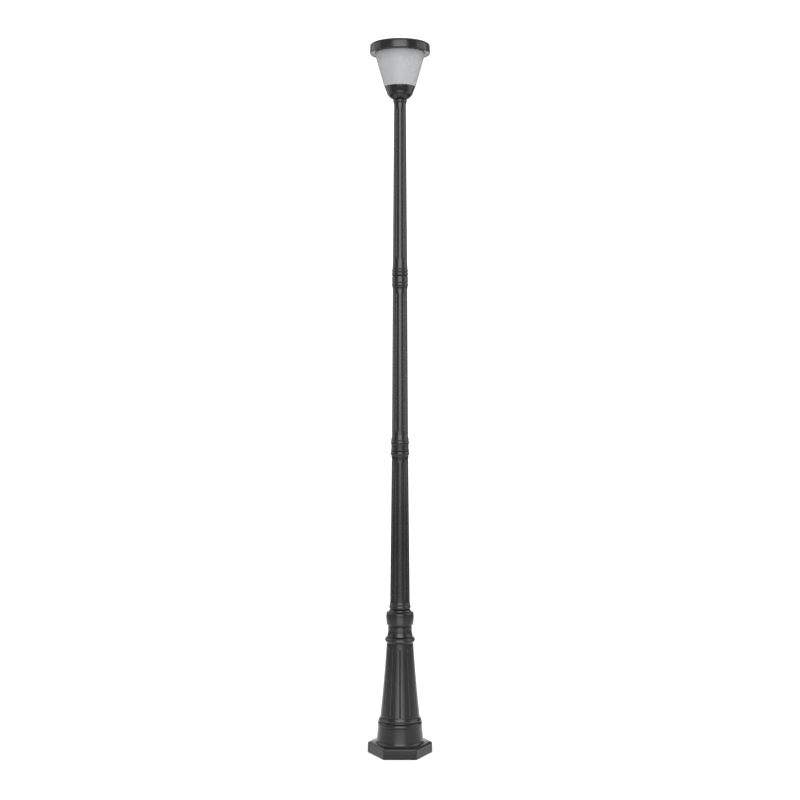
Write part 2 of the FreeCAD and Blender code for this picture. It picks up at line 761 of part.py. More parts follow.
def internal_leads():
    """Straight leads from the panel to the board and from the board to the LEDs, and two bent battery leads."""
    board_top = BOARD_LEVEL + BOARD_SIZE[2]
    leads = [lead((x, -40.0, board_top), (x, -40.0, PANEL_BOARD[0])) for x in (-6.0, 6.0)]
    leads += [lead((x, y, TRAY_UNDERSIDE), (x, y, BOARD_LEVEL)) for x, y in LED_LEAD_HOLES]
    holder_side = BATTERY_ROW_Y - BATTERY_PITCH - 1.0
    lead_level = CAP_FLOOR + 5.0
    for x in (-14.0, 14.0):
        leads.append(lead((x, holder_side, lead_level), (x, -38.0, lead_level), (x, -38.0, BOARD_LEVEL)))
    return Part.makeCompound(leads)


# ---- Push button -----------------------------------------------------------------------------------

BUTTON_TRAVEL = 2.0
COLLAR_LOW = CAP_FLOOR + REST_GAP
COLLAR_HIGH = COLLAR_LOW + 1.2
SWITCH_LOW = BOARD_LEVEL - 4.0


def mode_button():
    """Button with a collar that keeps it in the tray and a thin stem that reaches towards the switch."""
    cap = rod(BUTTON_RADIUS, TRAY_UNDERSIDE - 3.0, COLLAR_LOW, 0.0, BUTTON_Y)
    collar = rod(BUTTON_RADIUS + 1.5, COLLAR_LOW, COLLAR_HIGH, 0.0, BUTTON_Y)
    stem = rod(1.5, COLLAR_HIGH, SWITCH_LOW - BUTTON_TRAVEL - REST_GAP, 0.0, BUTTON_Y)
    return cap.fuse(collar).fuse(stem).removeSplitter()


def button_spring():
    return tube(3.2, 2.4, COLLAR_HIGH + 0.1, SWITCH_LOW, 0.0, BUTTON_Y)


def switch_body():
    return block(9.0, 9.0, SWITCH_LOW, BOARD_LEVEL, 0.0, BUTTON_Y)


# ---- Output ----------------------------------------------------------------------------------------

PIECES = {
    "base_foot": base_foot(),
    "pedestal": pedestal(),
    "tie_rod": tie_rod(),
    "tie_washer": tie_washer(),
    "tie_nut": tie_nut(),
    "foot_nipple": nipple(FOOT_JOINT, FOOT_NIPPLE),
    "lower_shaft": lower_shaft(),
    "lower_nipple": nipple(LOWER_JOINT, LOWER_NIPPLE),
    "middle_shaft": middle_shaft(),
    "upper_nipple": nipple(UPPER_JOINT, UPPER_NIPPLE),
    "upper_shaft": upper_shaft(),
    "joint_set_screws": joint_set_screws(),
    "head_nipple": head_nipple(),
    "cup": cup(),
    "cup_washer": cup_washer(),
    "cup_nut": cup_nut(),
    "seat_gasket": seat_gasket(),
    "shade": shade(),
    "shade_washer": shade_washer(),
    "shade_nut": shade_nut(),
    "cap_housing": cap_housing(),
    "cap_bezel": cap_bezel(),
    "cap_gasket": cap_gasket(),
    "panel_seal": panel_seal(),
    "panel_board": panel_board(),
    "solar_cells": solar_cells(),
    "panel_glass": panel_glass(),
    "electronics_tray": electronics_tray(),
    "tray_screws": tray_screws(),
    "led_board": led_board(),
    "leds": leds(),
    "led_lens": led_lens(),
    "lens_screws": lens_screws(),
    "battery_holder": battery_holder(),
    "battery_cells": battery_cells(),
    "battery_contacts": battery_contacts(),
    "control_board": control_board(),
    "board_screws": board_screws(),
    "board_parts": board_parts(),
    "internal_leads": internal_leads(),
    "switch_body": switch_body(),
    "button_spring": button_spring(),
    "mode_button": mode_button(),
}

os.makedirs("parts", exist_ok=True)
for name, shape in PIECES.items():
    solids = shape.Solids
    print(f"{name}: {len(solids)} solid(s), valid {shape.isValid()}, {shape.Volume / 1000:.2f} cm3")
    shape.exportStep(f"parts/{name}.step")
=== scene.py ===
import json
import math

import bmesh
import bpy
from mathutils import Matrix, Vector


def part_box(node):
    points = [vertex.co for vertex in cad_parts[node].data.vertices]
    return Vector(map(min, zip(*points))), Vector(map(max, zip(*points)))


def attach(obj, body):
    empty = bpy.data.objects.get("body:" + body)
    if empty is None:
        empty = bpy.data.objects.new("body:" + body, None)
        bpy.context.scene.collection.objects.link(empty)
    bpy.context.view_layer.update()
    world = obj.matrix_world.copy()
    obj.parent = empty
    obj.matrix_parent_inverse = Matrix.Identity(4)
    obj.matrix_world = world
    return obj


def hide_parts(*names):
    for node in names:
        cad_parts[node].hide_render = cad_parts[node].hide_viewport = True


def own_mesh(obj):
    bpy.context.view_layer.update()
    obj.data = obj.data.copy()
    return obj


# The looks of a lamp post: smooth turned, fluted and grooved castings in place of the design model's
# facetted ones, and a procedural material for every piece. Blender's units are metres. Outlines are
# written in millimetres, as (radius, height) from a piece's own lower seam, and become metres in
# join_rings().

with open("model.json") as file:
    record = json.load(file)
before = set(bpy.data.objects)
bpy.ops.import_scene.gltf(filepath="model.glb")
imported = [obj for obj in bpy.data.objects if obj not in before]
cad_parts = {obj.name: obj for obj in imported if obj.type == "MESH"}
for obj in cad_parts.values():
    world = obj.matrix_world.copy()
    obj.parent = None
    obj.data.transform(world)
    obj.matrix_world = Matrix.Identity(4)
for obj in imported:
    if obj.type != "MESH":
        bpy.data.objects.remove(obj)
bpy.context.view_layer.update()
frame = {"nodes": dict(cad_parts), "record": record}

MM = 0.001
ARC_STEP = math.radians(8)      # longest stretch of a sampled arc
ARC_CHORD = 14.0                # and its longest chord, mm
EDGE_SOFTNESS = 0.7             # how much of a casting's corner is rounded off, mm
INNER_SOFTNESS = 0.4            # the same on the inside of a hollow casting and on moulded parts
CORNER_SHARE = 0.42             # most that a rounded corner takes of the side next to it
STRAIGHT = math.cos(math.radians(14))       # an outline that bends less than this has no corner
NEARLY_ZERO = 1e-6


# ---- Places read from the frame --------------------------------------------------------------------

def low(node):
    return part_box(node)[0].z / MM


def high(node):
    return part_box(node)[1].z / MM


def reach(node):
    """Outer radius of a round node, in mm."""
    return max(abs(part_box(node)[0].x), abs(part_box(node)[1].x)) / MM


# ---- Outlines --------------------------------------------------------------------------------------

def circle_through(a, b, c):
    """Centre and radius of the circle through three points."""
    d = 2 * (a[0] * (b[1] - c[1]) + b[0] * (c[1] - a[1]) + c[0] * (a[1] - b[1]))
    squares = [p[0] ** 2 + p[1] ** 2 for p in (a, b, c)]
    x = (squares[0] * (b[1] - c[1]) + squares[1] * (c[1] - a[1]) + squares[2] * (a[1] - b[1])) / d
    y = (squares[0] * (c[0] - b[0]) + squares[1] * (a[0] - c[0]) + squares[2] * (b[0] - a[0])) / d
    return (x, y), math.dist((x, y), a)


def arc(start, middle, end):
    """Points along an arc after its start."""
    centre, radius = circle_through(start, middle, end)

    def angle(p):
        return math.atan2(p[1] - centre[1], p[0] - centre[0])

    first = angle(start)
    to_middle = (angle(middle) - first) % math.tau
    sweep = (angle(end) - first) % math.tau
    if to_middle > sweep:
        sweep -= math.tau
    count = max(2, math.ceil(abs(sweep) / ARC_STEP), math.ceil(abs(sweep) * radius / ARC_CHORD))
    points = []
    for i in range(1, count + 1):
        a = first + sweep * i / count
        points.append((centre[0] + radius * math.cos(a), centre[1] + radius * math.sin(a)))
    return points


def outline(steps):
    """Points of an open outline. A step is (radius, height), or (radius, height, radius, height) for an
    arc through its first point to its second."""
    points = [tuple(steps[0])]
    for step in steps[1:]:
        if len(step) == 4:
            points += arc(points[-1], step[:2], step[2:])
        else:
            points.append(tuple(step))
    return points


def stepped(start, direction, distance):
    return (start[0] + direction[0] * distance, start[1] + direction[1] * distance)


def soften(points, size=EDGE_SOFTNESS, closed=False):
    """Rounds off the corners of an outline with short curves, and keeps the shading flat beside them."""
    result = []
    count = len(points)
    for i, here in enumerate(points):
        if not closed and i in (0, count - 1):
            result.append(here)
            continue
        before = points[i - 1]
        after = points[(i + 1) % count]
        back = math.dist(here, before)
        ahead = math.dist(here, after)
        if back < NEARLY_ZERO or ahead < NEARLY_ZERO:
            continue
        to_before = ((before[0] - here[0]) / back, (before[1] - here[1]) / back)
        to_after = ((after[0] - here[0]) / ahead, (after[1] - here[1]) / ahead)
        if -(to_before[0] * to_after[0] + to_before[1] * to_after[1]) > STRAIGHT:
            result.append(here)
            continue
        cut_back = min(size, CORNER_SHARE * back)
        cut_ahead = min(size, CORNER_SHARE * ahead)
        start = stepped(here, to_before, cut_back)
        end = stepped(here, to_after, cut_ahead)
        if back > 4 * cut_back:
            result.append(stepped(start, to_before, cut_back))
        for t in (0.0, 0.25, 0.5, 0.75, 1.0):
            weights = ((1 - t) ** 2, 2 * t * (1 - t), t ** 2)
            result.append(tuple(
                weights[0] * start[k] + weights[1] * here[k] + weights[2] * end[k] for k in (0, 1)
            ))
        if ahead > 4 * cut_ahead:
            result.append(stepped(end, to_after, cut_ahead))
    return result


def with_heights(points, heights):
    """Adds points at the given heights to an outline that climbs."""
    apart = 1e-3
    result = [points[0]]
    for a, b in zip(points, points[1:]):
        for h in sorted(heights):
            if a[1] + apart < h < b[1] - apart:
                share = (h - a[1]) / (b[1] - a[1])
                result.append((a[0] + share * (b[0] - a[0]), h))
        result.append(b)
    return result


# ---- Meshes ----------------------------------------------------------------------------------------

def even_columns(count):
    """Angles of the columns of a plain turned piece."""
    angles = [math.tau * i / count for i in range(count)]
    return lambda radius: angles


def sector_columns(count, first, offsets):
    """Angles of columns that crowd round `count` features. offsets(radius) are angles to one side of a
    feature's centre, in radians, up to half a sector."""
    def columns(radius):
        side = offsets(radius)
        both = [-a for a in reversed(side)] + [0.0] + list(side)
        angles = []
        for i in range(count):
            centre = first + math.tau * i / count
            angles += [centre + a for a in both[:-1]]
        return angles
    return columns


def ring(radius, height, columns, relief=None):
    """One ring of vertices, in mm. relief(angle, radius, height) is how far the surface is cut back."""
    points = []
    for angle in columns(radius):
        r = radius - (relief(angle, radius, height) if relief else 0.0)
        points.append((r * math.cos(angle), r * math.sin(angle), height))
    return points


def join_rings(name, rings, base=0.0):
    """A closed mesh piece from rings of points in mm, the last one joined to the first. A ring of one
    point closes an end."""
    vertices = []
    starts = []
    for points in rings:
        starts.append(len(vertices))
        vertices += [(x * MM, y * MM, (z + base) * MM) for x, y, z in points]
    faces = []
    for a in range(len(rings)):
        b = (a + 1) % len(rings)
        columns = max(len(rings[a]), len(rings[b]))
        if columns == 1:
            continue
        for i in range(columns):
            j = (i + 1) % columns
            if len(rings[a]) == 1:
                faces.append((starts[a], starts[b] + j, starts[b] + i))
            elif len(rings[b]) == 1:
                faces.append((starts[a] + i, starts[a] + j, starts[b]))
            else:
                faces.append((starts[a] + i, starts[a] + j, starts[b] + j, starts[b] + i))
    mesh = bpy.data.meshes.new(name)
    mesh.from_pydata(vertices, [], faces)
    shell = bmesh.new()
    shell.from_mesh(mesh)
    bmesh.ops.recalc_face_normals(shell, faces=shell.faces)
    shell.to_mesh(mesh)
    shell.free()
    for polygon in mesh.polygons:
        polygon.use_smooth = True
    piece = bpy.data.objects.new(name, mesh)
    bpy.context.scene.collection.objects.link(piece)
    return piece


def turned(name, steps, base=0.0, count=160, size=EDGE_SOFTNESS):
    """A closed turned piece from a closed outline in mm."""
    points = outline(list(steps) + [steps[0][-2:]])[:-1]
    points = soften(points, size, closed=True)
    columns = even_columns(count)
    rings = [ring(r, z, columns) if r > NEARLY_ZERO else [(0.0, 0.0, z)] for r, z in points]
    return join_rings(name, rings, base)


def hollow(name, outside, inside, base, columns, relief, heights):
    """A piece from the outside, going up, and the inside, going down. The outside is cut back by relief
    and has extra rings at the given heights."""
    outer = with_heights(soften(outline(outside)), heights)
    inner = soften(outline(inside), INNER_SOFTNESS)
    rings = [ring(r, z, columns, relief) for r, z in outer]
    rings += [ring(r, z, columns) for r, z in inner]
    return join_rings(name, rings, base)


def round_corner(rounding):
    """How far the middle of a quarter-circle corner lies in from the corner's two sides."""
    return rounding * (1 - math.sqrt(0.5))


# ---- Materials -------------------------------------------------------------------------------------

class Nodes:
    """A material's node tree, with short calls for the nodes used here."""

    def __init__(self, name):
        self.material = bpy.data.materials.new(name)
        self.material.use_nodes = True
        self.tree = self.material.node_tree
        self.shader = self.tree.nodes["Principled BSDF"]
        self.coordinates = self.tree.nodes.new("ShaderNodeTexCoord").outputs["Object"]

    def link(self, output, target):
        self.tree.links.new(output, target)

    def noise(self, scale, detail, distortion=0.0):
        node = self.tree.nodes.new("ShaderNodeTexNoise")
        node.inputs["Scale"].default_value = scale
        node.inputs["Detail"].default_value = detail
        node.inputs["Distortion"].default_value = distortion
        self.link(self.coordinates, node.inputs["Vector"])
        return node.outputs["Fac"]

    def remap(self, value, low_in, high_in, low_out, high_out):
        node = self.tree.nodes.new("ShaderNodeMapRange")
        node.inputs["From Min"].default_value = low_in
        node.inputs["From Max"].default_value = high_in
        node.inputs["To Min"].default_value = low_out
        node.inputs["To Max"].default_value = high_out
        self.link(value, node.inputs["Value"])
        return node.outputs["Result"]

    def math(self, operation, a, b=None):
        node = self.tree.nodes.new("ShaderNodeMath")
        node.operation = operation
        for value, socket in ((a, node.inputs[0]), (b, node.inputs[1])):
            if isinstance(value, (int, float)):
                socket.default_value = value
            elif value is not None:
                self.link(value, socket)
        return node.outputs[0]

    def blend(self, factor, first, second):
        node = self.tree.nodes.new("ShaderNodeMix")
        node.data_type = "RGBA"
        self.link(factor, node.inputs["Factor"])
        for value, socket in ((first, node.inputs[6]), (second, node.inputs[7])):
            if isinstance(value, tuple):
                socket.default_value = (*value, 1.0)
            else:
                self.link(value, socket)
        return node.outputs[2]

    def bump(self, height, strength, distance):
        node = self.tree.nodes.new("ShaderNodeBump")
        node.inputs["Strength"].default_value = strength
        node.inputs["Distance"].default_value = distance
        self.link(height, node.inputs["Height"])
        self.link(node.outputs["Normal"], self.shader.inputs["Normal"])

    def mottled(self, noise, dark, light):
        """A colour that drifts between dark and light with a noise."""
        return self.blend(self.remap(noise, 0.35, 0.65, 0.0, 1.0), dark, light)

    def position(self):
        """X, Y and Z of the shaded point, in metres from the ground on the post's axis."""
        split = self.tree.nodes.new("ShaderNodeSeparateXYZ")
        self.link(self.coordinates, split.inputs["Vector"])
        return split.outputs["X"], split.outputs["Y"], split.outputs["Z"]

    def colour(self, output):
        self.link(output, self.shader.inputs["Base Color"])

    def roughness(self, output):
        self.link(output, self.shader.inputs["Roughness"])

    def set(self, **values):
        for name, value in values.items():
            self.shader.inputs[name.replace("_", " ")].default_value = value


def powder_coat(name):
    """Satin black powder coat: slight orange peel and cloudy gloss."""
    n = Nodes(name)
    clouds = n.noise(9.0, 4.0)
    n.colour(n.mottled(clouds, (0.003, 0.003, 0.0032), (0.005, 0.005, 0.0053)))
    fine = n.noise(160.0, 3.0)
    n.roughness(n.remap(n.math("ADD", clouds, fine), 0.7, 1.3, 0.22, 0.28))
    peel = n.noise(750.0, 2.0)
    n.bump(peel, 0.18, 0.00012)
    n.set(IOR=1.4)
    return n.material


def frosted_shade(name):
    """Frosted acrylic: light spreads inside it, with a fine blasted grain on the surface. Towards its lip
    it is greyed by painted shade, standing in for the shadow under the cap."""
    n = Nodes(name)
    height = n.position()[2]
    lip = high("shade") * MM
    # Painted shade: a mask that rises towards the lip, standing in for the shadow of the cap's overhang.
    painted_cap_shadow_mask = n.remap(height, lip - 0.034, lip - 0.002, 0.0, 1.0)
    clouds = n.noise(14.0, 3.0)
    body = n.blend(clouds, (0.240, 0.243, 0.246), (0.252, 0.255, 0.258))
    # Blends in the painted shade colour under the cap.
    n.colour(n.blend(painted_cap_shadow_mask, body, (0.165, 0.165, 0.17)))
    grain = n.noise(2200.0, 2.0)
    n.roughness(n.remap(grain, 0.3, 0.7, 0.5, 0.62))
    n.bump(grain, 0.12, 0.00006)
    n.set(IOR=1.45, Subsurface_Weight=0.25, Subsurface_Scale=0.004)
    return n.material


def speckled(name, dark, light, rough, grain, metallic=0.0):
    """A plain finish with cloudy colour, uneven gloss and fine grain."""
    n = Nodes(name)
    n.colour(n.mottled(n.noise(25.0, 3.0), dark, light))
    fine = n.noise(grain, 2.0)
    n.roughness(n.remap(fine, 0.3, 0.7, rough[0], rough[1]))
    n.bump(fine, 0.1, 0.0001)
    n.set(Metallic=metallic)
    return n.material


def solar_cell(name):
    """Dark silicon with thin silver fingers across it and wider busbars along it."""
    n = Nodes(name)
    x, y, _ = n.position()
    finger_pitch = 0.0021
    busbar_pitch = 0.0205

    def stripes(coordinate, pitch, share):
        return n.math("LESS_THAN", n.math("FRACT", n.math("MULTIPLY", coordinate, 1 / pitch)), share)

    silver = n.math("MAXIMUM", stripes(y, finger_pitch, 0.1), stripes(x, busbar_pitch, 0.08))
    crystal = n.noise(90.0, 4.0)
    silicon = n.mottled(crystal, (0.004, 0.006, 0.02), (0.010, 0.018, 0.06))
    n.colour(n.blend(silver, silicon, (0.45, 0.46, 0.48)))
    n.roughness(n.remap(crystal, 0.3, 0.7, 0.2, 0.32))
    return n.material


def circuit_board(name, dark, light):
    """Solder mask over copper tracks that show as slightly lighter lines."""
    n = Nodes(name)
    brick = n.tree.nodes.new("ShaderNodeTexBrick")
    brick.inputs["Scale"].default_value = 160.0
    brick.inputs["Mortar Size"].default_value = 0.05
    n.link(n.coordinates, brick.inputs["Vector"])
    cloud = n.noise(60.0, 3.0)
    base = n.blend(cloud, dark, light)
    n.colour(n.blend(n.math("MULTIPLY", brick.outputs["Fac"], 0.6), base, tuple(1.6 * c for c in light)))
    n.roughness(n.remap(cloud, 0.3, 0.7, 0.3, 0.42))
    n.bump(brick.outputs["Fac"], 0.2, 0.0001)
    return n.material


def clear_glass(name):
    """Panel glass with faint smears in its gloss."""
    n = Nodes(name)
    smears = n.noise(18.0, 5.0, distortion=0.6)
    n.colour(n.blend(smears, (0.93, 0.96, 0.96), (0.97, 0.99, 0.99)))
    n.roughness(n.remap(smears, 0.35, 0.7, 0.02, 0.09))
    n.set(IOR=1.5, Transmission_Weight=1.0)
    return n.material


STEEL = ((0.42, 0.43, 0.44), (0.58, 0.59, 0.60))
FINISHES = {                    # dark and light colour, roughness range, scale of the grain, metallic
    "zinc_steel": (*STEEL, (0.28, 0.42), 700, 1.0),
    "black_screw": ((0.02, 0.02, 0.02), (0.04, 0.04, 0.04), (0.35, 0.5), 900),
    "small_screw": ((0.5, 0.5, 0.5), (0.65, 0.65, 0.66), (0.2, 0.34), 900, 1.0),
    "seal_rubber": ((0.012, 0.012, 0.012), (0.022, 0.022, 0.022), (0.7, 0.85), 1500),
    "pale_silicone": ((0.24, 0.24, 0.24), (0.32, 0.32, 0.32), (0.5, 0.65), 1500),
    "tray_plastic": ((0.5, 0.5, 0.49), (0.58, 0.58, 0.56), (0.45, 0.6), 1200),
    "holder_plastic": ((0.012, 0.012, 0.012), (0.02, 0.02, 0.02), (0.4, 0.55), 1200),
    "lens_plastic": ((0.66, 0.66, 0.65), (0.72, 0.72, 0.71), (0.3, 0.4), 1800),
    "led_chip": ((0.75, 0.55, 0.12), (0.85, 0.68, 0.22), (0.35, 0.5), 3000),
    "battery_wrap": ((0.01, 0.05, 0.16), (0.016, 0.07, 0.22), (0.22, 0.35), 500),
    "contact_metal": ((0.5, 0.47, 0.4), (0.66, 0.62, 0.52), (0.22, 0.36), 900, 1.0),
    "component_black": ((0.01, 0.01, 0.01), (0.02, 0.02, 0.02), (0.35, 0.5), 2000),
    "lead_insulation": ((0.25, 0.01, 0.01), (0.33, 0.02, 0.02), (0.35, 0.5), 1500),
    "spring_steel": (*STEEL, (0.18, 0.3), 2500, 1.0),
    "button_plastic": ((0.01, 0.01, 0.01), (0.018, 0.018, 0.018), (0.16, 0.28), 1500),
}
MATERIALS = {name: speckled(name, *finish) for name, finish in FINISHES.items()}
MATERIALS |= {
    "powder_coat": powder_coat("powder_coat"),
    "frosted_shade": frosted_shade("frosted_shade"),
    "cap_casing": powder_coat("cap_casing"),
    "white_board": circuit_board("white_board", (0.55, 0.55, 0.54), (0.6, 0.6, 0.59)),
    "green_board": circuit_board("green_board", (0.008, 0.06, 0.02), (0.012, 0.09, 0.03)),
    "silicon": solar_cell("silicon"),
    "panel_glass": clear_glass("panel_glass"),
}


def place(piece, body, slot, node):
    """Ties a finished piece to its body and material, in place of its design node."""
    piece.data.materials.clear()
    piece.data.materials.append(MATERIALS[slot])
    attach(piece, body)
    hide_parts(node)


# ---- Castings --------------------------------------------------------------------------------------

FLUTES = 8
FLUTE_HALF_ANGLE = math.radians(12.5)
FLUTE_DEPTH = 0.06              # share of the section's radius
FLUTE_MARGIN = 14.0             # from a taper's end to the centre of a flute's round end
FLUTE_LIMIT = 0.6               # a flute is gone this share of the radius past that centre
FLUTE_FADE = 5.0                # and fades out over this last stretch
FLUTE_FOOT_END = 9.5            # about how far a flute's round ends reach, for the rings there
FLUTE_HEAD_END = 8.5
FLUTE_BANDS = 12                # rings between a flute's ends
ARRIS = 0.35                    # roundness of the edges of flutes and grooves


def smooth_positive(value, softness):
    """value where it is positive and nearly nothing where it is negative, with a soft corner."""
    return (value + math.sqrt(value * value + softness * softness)) / 2


def flute_relief(taper):
    """How deep the flutes of one shaft section are cut at a point of its surface."""
    floor = 1.0 - FLUTE_DEPTH
    centre = (1.0 - floor ** 2) / (2.0 * (math.cos(FLUTE_HALF_ANGLE) - floor))
    trough = centre - floor
    sector = math.tau / FLUTES
    first = taper[0] + FLUTE_MARGIN
    last = taper[1] - FLUTE_MARGIN

    def relief(angle, radius, height):
        beyond = max(first - height, height - last, 0.0)
        if beyond > FLUTE_LIMIT * radius:
            return 0.0
        off_centre = (angle % sector) - sector / 2
        sideways = radius * math.sin(off_centre)
        inwards = radius * (centre - math.cos(off_centre))
        distance = math.sqrt(sideways ** 2 + inwards ** 2 + beyond ** 2)
        fade = min(1.0, (FLUTE_LIMIT * radius - beyond) / FLUTE_FADE)
        return fade * smooth_positive(trough * radius - distance, ARRIS)
    return relief


def on_to(last, half_sector, count):
    """Even column angles from the last crowded one to halfway to the next feature."""
    return [last + (half_sector - last) * i / count for i in range(1, count + 1)]


def flute_offsets(radius):
    """Column angles from the middle of a flute to the middle of the next rib."""
    shares = (0.18, 0.36, 0.52, 0.66, 0.78, 0.87, 0.94, 1.0, 1.06, 1.14)
    near = [FLUTE_HALF_ANGLE * s for s in shares]
    return near + on_to(near[-1], math.tau / FLUTES / 2, 5)


def end_heights(centre, direction, span):
    """Ring heights that follow the round end of a flute or groove."""
    shares = (0.0, 0.2, 0.4, 0.55, 0.7, 0.8, 0.88, 0.95, 1.0, 1.06, 1.15)
    return [centre + direction * span * s for s in shares]


def shaft_section(node, outside, taper, bore, foot_bore, head_bore):
    """A fluted section whose outline climbs from its lower seam. The bore narrows to a threaded socket
    at each end."""
    top = outside[-1][-1]
    socket = 24.0
    cored = socket + 4.0
    inside = [
        (head_bore, top),
        (head_bore, top - socket),
        (bore, top - cored),
        (bore, cored),
        (foot_bore, socket),
        (foot_bore, 0.0),
    ]
    first = taper[0] + FLUTE_MARGIN
    last = taper[1] - FLUTE_MARGIN
    heights = end_heights(first, -1, FLUTE_FOOT_END) + end_heights(last, 1, FLUTE_HEAD_END)
    heights += [first + (last - first) * i / FLUTE_BANDS for i in range(1, FLUTE_BANDS)]
    columns = sector_columns(FLUTES, math.tau / FLUTES / 2, flute_offsets)
    piece = hollow(node + "_casting", outside, inside, low(node), columns, flute_relief(taper), heights)
    place(piece, "post", "powder_coat", node)


def lower_shaft():
    top = high("lower_shaft") - low("lower_shaft")
    taper = (29.5, top - 31.5)
    outside = [
        (34.2, 0.0),
        (36.9, 2.9),
        (37.9, 7.7, 36.0, 14.1),
        (34.8, 15.3),
        (35.8, 16.5),
        (35.9, 19.9, 34.8, 23.5),
        (34.5, taper[0]),
        (29.2, taper[1]),
        (29.5, top - 24.5, 30.9, top - 17.0),
        (29.8, top - 15.7),
        (30.9, top - 14.3),
        (33.1, top - 7.5, 31.6, top - 1.3),
        (30.4, top),
    ]
    shaft_section("lower_shaft", outside, taper, 23.0, 20.0, 16.0)


def middle_shaft():
    top = high("middle_shaft") - low("middle_shaft")
    taper = (59.5, top - 50.5)
    outside = [
        (30.4, 0.0),
        (31.9, 1.3),
        (32.1, 6.1),
        (30.6, 7.7),
        (30.7, 16.0, 31.0, 22.1),
        (30.1, 23.3),
        (31.1, 24.5),
        (32.2, 30.1, 31.2, 35.9),
        (30.2, 37.1),
        (31.2, 38.3),
        (31.2, 41.7),
        (29.4, 48.1, 28.6, taper[0]),
        (25.6, taper[1]),
        (26.1, top - 44.0, 27.4, top - 38.5),
        (26.4, top - 37.3),
        (27.4, top - 36.1),
        (28.5, top - 30.5, 27.6, top - 24.7),
        (26.5, top - 23.1),
        (28.1, top - 21.5),
        (27.9, top - 2.1),
        (26.2, top),
    ]
    shaft_section("middle_shaft", outside, taper, 20.0, 16.0, 14.0)


def upper_shaft():
    top = high("upper_shaft") - low("upper_shaft")
    taper = (51.5, top - 21.0)
    outside = [
        (26.2, 0.0),
        (27.5, 1.7),
        (28.6, 6.9, 27.6, 12.3),
        (26.5, 13.7),
        (27.5, 15.1),
        (28.2, 19.1, 27.1, 23.5),
        (26.0, 24.7),
        (26.8, 25.9),
        (25.9, 37.5, 25.3, taper[0]),
        (21.1, taper[1]),
        (21.4, top - 16.0, 21.9, top - 11.6),
        (24.4, top - 5.4, 23.4, top),
    ]
    shaft_section("upper_shaft", outside, taper, 16.0, 14.0, 8.0)


GROOVES = 12
GROOVE_RADIUS = 2.0
GROOVE_END_RADIUS = 2.7         # the drop at a groove's upper end
GROOVE_DEPTH = 2.3
GROOVE_FLANK = 0.8              # how gently a groove deepens from its edge, mm
GROOVE_FADE = 1.2               # its trace outside the edge is gone at twice this, mm
GROOVE_SPAN = (23.5, 249.5)     # above the pedestal's seat on the foot
SPIGOT = 7.0                    # how far the pedestal reaches down into the foot


def groove_relief(angle, radius, height):
    """How deep the pedestal's narrow grooves are cut at a point of its surface."""
    sector = math.tau / GROOVES
    off_centre = (angle + sector / 2) % sector - sector / 2
    sideways = radius * abs(off_centre)
    first, last = (SPIGOT + h for h in GROOVE_SPAN)
    beyond = max(first - height, height - last, 0.0)
    slot = GROOVE_RADIUS - math.hypot(sideways, beyond)
    drop = GROOVE_END_RADIUS - math.hypot(sideways, height - last)
    inside = max(slot, drop)
    depth = GROOVE_DEPTH * (1 - math.exp(-smooth_positive(inside, ARRIS) / GROOVE_FLANK))
    return depth * min(1.0, max(0.0, 2 + inside / GROOVE_FADE))


def groove_offsets(radius):
    """Column angles from the middle of a groove to halfway to the next."""
    near = [x / radius for x in (0.5, 1.0, 1.35, 1.65, 1.9, 2.15, 2.45, 2.8, 3.3, 4.2)]
    return near + on_to(near[-1], math.tau / GROOVES / 2, 5)


def pedestal():
    """Heights are above the spigot's lower edge."""
    seat = SPIGOT
    top = high("pedestal") - low("pedestal")
    outside = [
        (59.8, 0.0),
        (59.8, seat),
        (72.8, seat),
        (74.8, seat + 2.1),
        (75.2, seat + 4.3, 74.2, seat + 6.3),
        (70.7, seat + 11.1, 68.5, seat + 21.5),
        (56.9, seat + 139.5, 47.2, seat + 263.5),
        (46.2, seat + 273.1),
        (52.3, seat + 285.5, 46.6, seat + 292.7),
        (43.4, seat + 294.9),
        (45.2, seat + 297.1),
        (42.4, top - 83.0, 41.8, top - 68.5),
        (41.8, top - 60.5),
        (39.8, top - 57.9),
        (45.4, top - 54.9),
        (47.2, top - 50.5),
        (48.9, top - 29.0),
        (48.3, top - 17.5),
        (46.8, top - 12.3, 42.8, top - 9.3),
        (38.4, top - 6.5),
        (36.9, top - 2.7),
        (34.2, top),
    ]
    inside = [
        (20.0, top),
        (20.0, top - 24.5),
        (6.5, top - 24.5),
        (6.5, top - 36.5),
        (36.5, top - 36.5),
        (36.5, top - 90.5),
        (50.2, seat + 139.5),
        (61.5, seat + 21.5),
        (61.0, seat + 8.0),
        (54.0, seat + 8.0),
        (54.0, 0.0),
    ]
    first, last = (seat + h for h in GROOVE_SPAN)
    heights = end_heights(first, -1, GROOVE_RADIUS) + end_heights(last, 1, GROOVE_END_RADIUS)
    heights += end_heights(last, -1, GROOVE_END_RADIUS)
    columns = sector_columns(GROOVES, -math.pi / 2, groove_offsets)
    piece = hollow("pedestal_casting", outside, inside, low("pedestal"), columns, groove_relief, heights)
    place(piece, "post", "powder_coat", "pedestal")


FOOT_SIDES = 6
HALF_SIDE = math.pi / FOOT_SIDES            # angle from a corner to the middle of a side
FLAT_SHARE = math.cos(HALF_SIDE)            # a hexagon's reach to its flats, as a share of that to corners
FOOT_CORNER_ROUND = 5.0
FOOT_CHAMFER = 5.0
FOOT_PLATE = 38.0               # height of the plate


def hexagon_reach(angle, corner, rounding):
    """Distance from the axis to a rounded hexagon's side, with a corner on the X axis."""
    sector = 2 * HALF_SIDE
    off_corner = abs((angle + sector / 2) % sector - sector / 2)
    flat = corner * FLAT_SHARE
    centre = corner - rounding / FLAT_SHARE
    tangent = math.atan2(rounding * math.sin(HALF_SIDE), centre + rounding * FLAT_SHARE)
    if off_corner >= tangent:
        return flat / math.cos(HALF_SIDE - off_corner)
    chord = centre * math.sin(off_corner)
    return centre * math.cos(off_corner) + math.sqrt(rounding ** 2 - chord ** 2)


